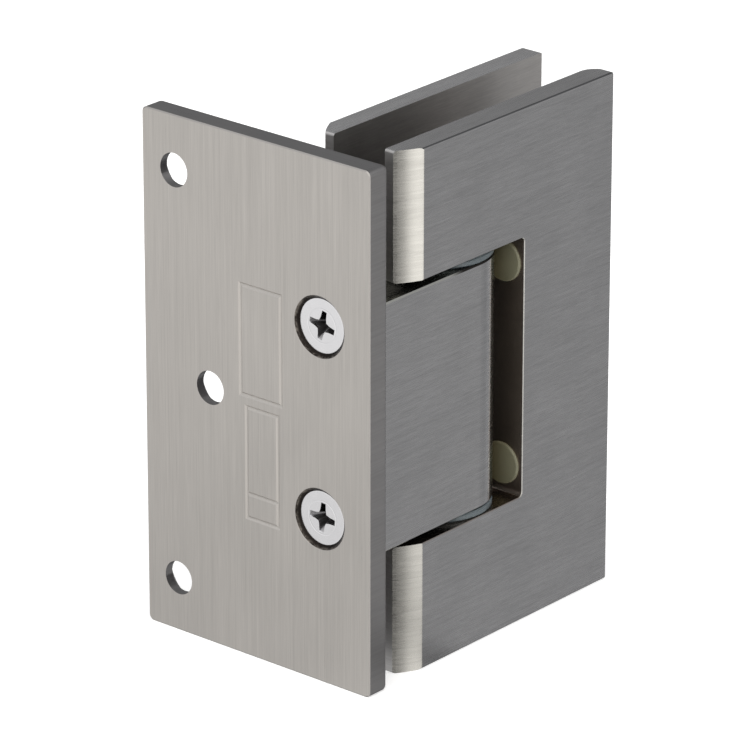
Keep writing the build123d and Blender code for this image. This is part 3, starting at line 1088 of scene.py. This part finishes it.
def studio_tone(sheet, direction):
    """Brightness of the studio in a direction: bright to the left and the front, dim to the right."""
    compass = sheet.vector("NORMALIZE", sheet.vector("MULTIPLY", direction, (1, 1, 0)))
    low = 1 - sheet.parts(direction)[2].between(-0.1, 0.25)
    tone = STUDIO_MEAN
    for towards, gain, narrow in LOBES:
        facing = towards_angle(sheet, compass, towards)
        if narrow > 1:
            facing = low * facing.maths("MAXIMUM", 0.0).maths("POWER", narrow)
        tone = tone + gain * facing
    return tone.maths("MAXIMUM", 0.02)


def towards_angle(sheet, compass, towards):
    """1 towards an angle from +X, in degrees, and -1 away from it."""
    angle = math.radians(towards)
    aim = (math.cos(angle), math.sin(angle), 0)
    return sheet.vector("DOT_PRODUCT", compass, aim, output=1)


class HINGE_OT_stage(LooksOperator, bpy.types.Operator):
    """Pale floor, white surroundings, softboxes and the camera"""

    bl_idname = "hinge_looks.stage"
    bl_label = "Studio"

    floor_half = 6.0
    middle = (0.025, 0.005, cad_low.z)  # where the hinge stands
    boxes = (
        # name, place, width and power
        ("key_softbox", (-0.9, -1.3, 0.9), 0.9, 14.0),
        ("fill_softbox", (-1.5, 0.6, 0.7), 0.9, 7.0),
        ("top_softbox", (0.1, 0.0, 1.6), 1.2, 9.0),
    )

    def execute(self, context):
        context.scene.view_settings.view_transform = "Standard"
        self.make_world(context.scene)
        self.make_floor()
        for name, place, size, power in self.boxes:
            self.make_lamp(name, Vector(place), size, power * self.looks.lamp_power)
        self.make_camera(context.scene)
        return {"FINISHED"}

    @staticmethod
    def make_world(scene):
        world = bpy.data.worlds.new("white_studio")
        world.use_nodes = True
        scene.world = world
        sheet = Sheet(world.node_tree)
        direction = sheet.add("ShaderNodeTexCoord")
        seen = sheet.add("ShaderNodeLightPath", output="Is Camera Ray")
        height = sheet.parts(direction)[2]
        strength = studio_tone(sheet, direction) + 0.1 * height.between(0.1, 0.35)
        strength = strength + seen * (1 - strength)
        warm = towards_angle(sheet, direction, 215.0).between(-0.6, 0.6)
        tint = sheet.mix(seen, sheet.mix(warm, (0.975, 0.985, 1.0), (1.0, 0.985, 0.955)), (1.0, 1.0, 1.0))
        sky = sheet.add("ShaderNodeBackground", None, {"Color": tint, "Strength": strength})
        sheet.add("ShaderNodeOutputWorld", None, {"Surface": sky})

    def make_floor(self):
        half = self.floor_half
        level = cad_low.z
        mesh = bpy.data.meshes.new("floor")
        corners = [(-half, -half, level), (half, -half, level), (half, half, level), (-half, half, level)]
        mesh.from_pydata(corners, [], [(0, 1, 2, 3)])
        floor = placed("floor", mesh)
        material = bpy.data.materials.new("studio_floor")
        material.use_nodes = True
        sheet = Sheet(material.node_tree)
        seen = sheet.add("ShaderNodeLightPath", output="Is Camera Ray")
        mirrored = sheet.add("ShaderNodeLightPath", output="Is Glossy Ray")
        place = sheet.add("ShaderNodeNewGeometry")
        spot = sheet.vector("SUBTRACT", place, self.middle)
        reach = sheet.vector("LENGTH", spot, output=1)
        # Painted shadow on the floor near the hinge, seen only in reflections
        left = (towards_angle(sheet, spot, 150.0) / reach).maths("MAXIMUM", 0.0)
        front = (towards_angle(sheet, spot, 248.0) / reach).maths("MAXIMUM", 0.0).maths("POWER", 20.0)
        near = (1 - reach.between(0.03, 0.22)) * (0.16 * left + 0.42 * front)
        paint = sheet.add("ShaderNodeBsdfDiffuse", None, {"Color": (0.86, 0.86, 0.86, 1)})
        lift = sheet.add("ShaderNodeEmission", None, {"Strength": seen * 0.35})
        lit = sheet.add("ShaderNodeAddShader", None, [paint, lift])
        beyond = sheet.add("ShaderNodeBsdfTransparent")
        dark = sheet.add("ShaderNodeEmission", None, {"Strength": 0.0})
        shown = sheet.add("ShaderNodeMixShader", None, [near, beyond, dark])
        surface = sheet.add("ShaderNodeMixShader", None, [mirrored, lit, shown])
        sheet.add("ShaderNodeOutputMaterial", None, {"Surface": surface})
        mesh.materials.append(material)

    @staticmethod
    def make_lamp(name, place, size, power):
        lamp = bpy.data.lights.new(name, "AREA")
        lamp.size = size
        lamp.energy = power
        holder = placed(name, lamp)
        holder.location = place
        holder.rotation_euler = (-place).to_track_quat("-Z", "Y").to_euler()
        holder.visible_glossy = False

    def make_camera(self, scene):
        looks = self.looks
        azimuth = math.radians(looks.camera_azimuth)
        elevation = math.radians(looks.camera_elevation)
        roll = math.radians(looks.camera_roll)
        back = Vector((
            math.sin(azimuth) * math.cos(elevation),
            -math.cos(azimuth) * math.cos(elevation),
            math.sin(elevation),
        ))
        right = Vector((math.cos(azimuth), math.sin(azimuth), 0))
        up = back.cross(right)
        right, up = right * math.cos(roll) + up * math.sin(roll), up * math.cos(roll) - right * math.sin(roll)
        spot = back * looks.camera_distance + right * looks.aim_right + up * looks.aim_up
        camera = bpy.data.cameras.new("photo_camera")
        camera.sensor_width = 36.0
        camera.lens = looks.camera_lens
        camera.clip_start = 0.01
        camera.clip_end = 50.0
        holder = placed("photo_camera", camera)
        turn = Matrix((right, up, back)).transposed().to_4x4()
        holder.matrix_world = Matrix.Translation(spot) @ turn
        scene.camera = holder


class HINGE_PT_looks(bpy.types.Panel):
    """Lists the steps and their sizes in the sidebar"""

    bl_idname = "HINGE_PT_looks"
    bl_label = "Hinge looks"
    bl_space_type = "VIEW_3D"
    bl_region_type = "UI"
    bl_category = "Hinge"

    def draw(self, context):
        looks = context.scene.hinge_looks
        for name in HingeLooks.__annotations__:
            self.layout.prop(looks, name)
        for step in STEPS:
            self.layout.operator(step.bl_idname)


STEPS = (
    HINGE_OT_stage,
    HINGE_OT_wall_plate,
    HINGE_OT_block_and_leaves,
    HINGE_OT_plate_screws,
    HINGE_OT_socket_screws,
    HINGE_OT_plunger_springs,
    HINGE_OT_pin_and_plungers,
    HINGE_OT_washers,
    HINGE_OT_buttons,
)


def register():
    for made in (HingeLooks, *STEPS, HINGE_PT_looks):
        bpy.utils.register_class(made)
    bpy.types.Scene.hinge_looks = PointerProperty(type=HingeLooks)


def unregister():
    del bpy.types.Scene.hinge_looks
    for made in reversed((HingeLooks, *STEPS, HINGE_PT_looks)):
        bpy.utils.unregister_class(made)


def main():
    register()
    bpy.ops.hinge_looks.stage()
    bpy.ops.hinge_looks.wall_plate()
    bpy.ops.hinge_looks.block_and_leaves()
    bpy.ops.hinge_looks.plate_screws()
    bpy.ops.hinge_looks.socket_screws()
    bpy.ops.hinge_looks.plunger_springs()
    bpy.ops.hinge_looks.pin_and_plungers()
    bpy.ops.hinge_looks.washers()
    bpy.ops.hinge_looks.buttons()


if __name__ == "__main__":
    main()
